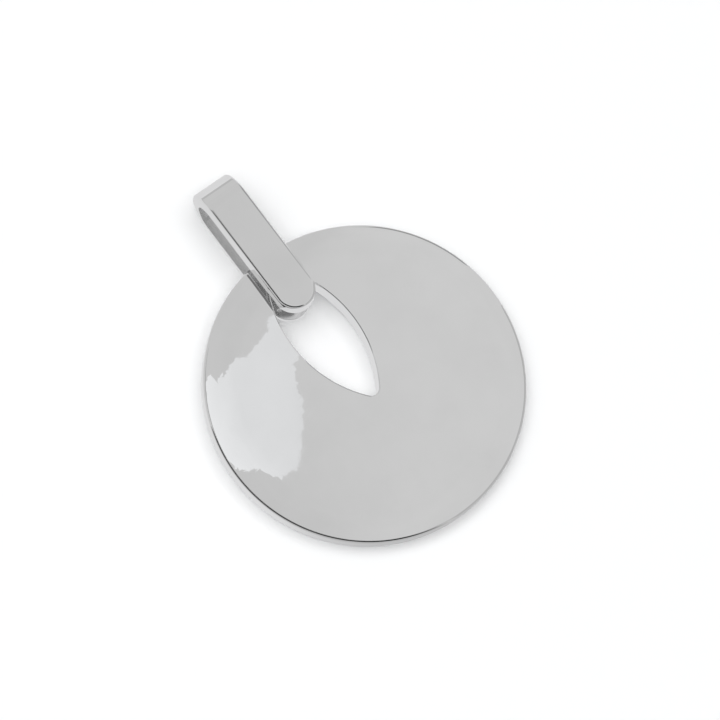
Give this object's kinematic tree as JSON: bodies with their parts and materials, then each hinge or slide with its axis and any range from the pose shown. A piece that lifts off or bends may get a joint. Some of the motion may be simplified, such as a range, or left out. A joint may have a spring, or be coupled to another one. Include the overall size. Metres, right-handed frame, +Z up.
{
  "type": "disc pendant",
  "caption": "Round polished silver pendant plate with a leaf-shaped hole, hanging in a flattened strap bail that takes a chain.",
  "frame": {"origin": "on the surface that the pendant lies on, under the middle of its bounding box", "axes": "+Z up from the surface, +Y from the disc towards the fold of the bail, +X to the right as seen from above"},
  "size_m": [0.032, 0.041, 0.0061],
  "materials": {
    "polished_silver": "mirror-polished solid sterling silver with fine scratches"
  },
  "bodies": {
    "root": {"disc": "polished_silver", "bail": "polished_silver"}
  },
  "joints": []
}
